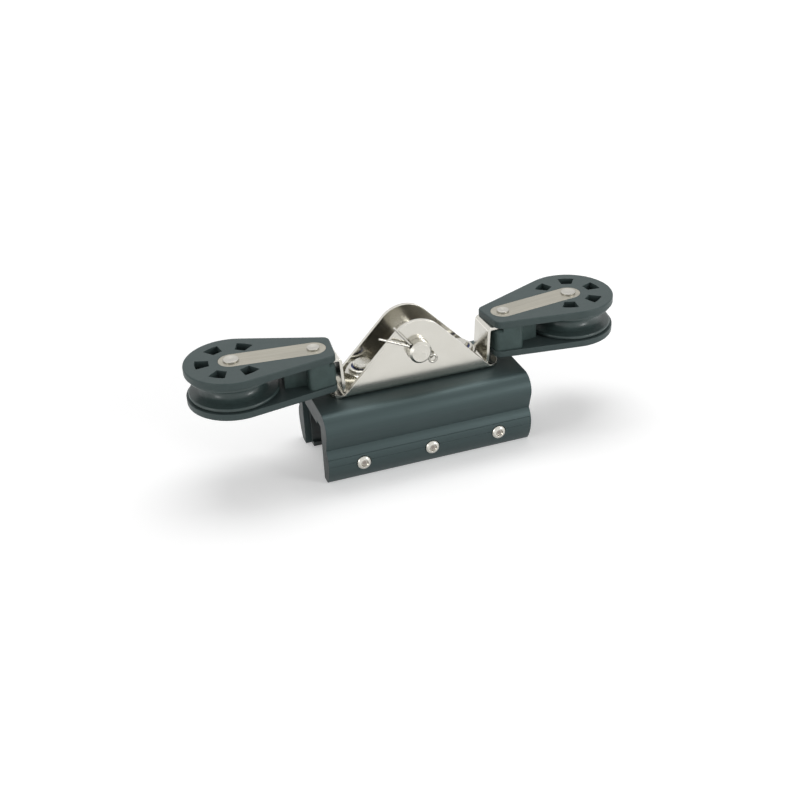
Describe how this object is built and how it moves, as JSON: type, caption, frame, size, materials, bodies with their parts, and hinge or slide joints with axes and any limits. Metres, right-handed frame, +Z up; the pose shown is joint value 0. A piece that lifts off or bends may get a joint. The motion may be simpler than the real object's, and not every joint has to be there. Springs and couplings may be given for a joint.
{
  "type": "track car",
  "caption": "Mainsheet traveller car for a box-section track: extruded body on plastic slides, folded bracket with clevis pin, and a swivelling sheave block at each end.",
  "frame": {"origin": "midway along the body, on the centre plane of the beam it runs on, at the height of the body's underside", "axes": "+X along the beam, +Y to the back, away from the split pin, +Z up from the beam"},
  "size_m": [0.2344, 0.0599, 0.0761],
  "materials": {
    "body_anodised": "dark grey anodised extrusion, fine die lines along its length",
    "slide_acetal": "black acetal, satin",
    "rivet_steel": "stainless steel rivet heads, lightly brushed",
    "bracket_steel": "polished stainless steel sheet, satin on the outer faces",
    "fastener_steel": "bright stainless steel",
    "insert_nylon": "blue nylon locking ring",
    "pin_steel": "turned stainless steel",
    "wire_steel": "drawn stainless wire",
    "cheek_plastic": "grey glass-filled moulding, fine satin",
    "strap_steel": "brushed stainless strip, grained along its length",
    "sheave_acetal": "dark grey acetal, polished groove",
    "bush_acetal": "plain pale bearing plastic",
    "spacer_plastic": "dark grey moulding"
  },
  "bodies": {
    "car": {"car_body": "body_anodised", "slide_front": "slide_acetal", "slide_back": "slide_acetal", "side_rivets_front": "rivet_steel", "side_rivets_back": "rivet_steel", "bracket": "bracket_steel", "block_strap": "bracket_steel", "mounting_bolts": "fastener_steel", "locking_nuts": "fastener_steel", "nut_inserts": "insert_nylon"},
    "clevis": {"clevis_pin": "pin_steel", "split_pin": "wire_steel"},
    "left_block": {"left_upper_cheek": "cheek_plastic", "left_lower_cheek": "cheek_plastic", "left_upper_strap": "strap_steel", "left_lower_strap": "strap_steel", "left_sheave_bush": "bush_acetal", "left_axle_rivet": "rivet_steel", "left_tail_rivet": "rivet_steel", "left_spacer": "spacer_plastic"},
    "left_wheel": {"left_sheave": "sheave_acetal"},
    "right_block": {"right_upper_cheek": "cheek_plastic", "right_lower_cheek": "cheek_plastic", "right_upper_strap": "strap_steel", "right_lower_strap": "strap_steel", "right_sheave_bush": "bush_acetal", "right_axle_rivet": "rivet_steel", "right_tail_rivet": "rivet_steel", "right_spacer": "spacer_plastic"},
    "right_wheel": {"right_sheave": "sheave_acetal"}
  },
  "joints": [
    {"name": "clevis_pin_turn", "type": "hinge", "parent": "car", "child": "clevis", "pos_m": [0, 0, 0.06], "axis": [0, -1, 0], "range_deg": [-200, 80]},
    {"name": "left_block_swivel", "type": "hinge", "parent": "car", "child": "left_block", "pos_m": [-0.052, 0, 0.0555], "axis": [0, 0, -1], "range_deg": [-17.5, 5.5]},
    {"name": "right_block_swivel", "type": "hinge", "parent": "car", "child": "right_block", "pos_m": [0.052, 0, 0.0555], "axis": [0, 0, 1], "range_deg": [-19.9, 3.1]},
    {"name": "left_sheave_spin", "type": "hinge", "parent": "left_block", "child": "left_wheel", "pos_m": [-0.09317, 0.00433, 0.0555], "axis": [0, 0, 1], "continuous": true},
    {"name": "right_sheave_spin", "type": "hinge", "parent": "right_block", "child": "right_wheel", "pos_m": [0.09296, 0.00605, 0.0555], "axis": [0, 0, 1], "continuous": true}
  ]
}
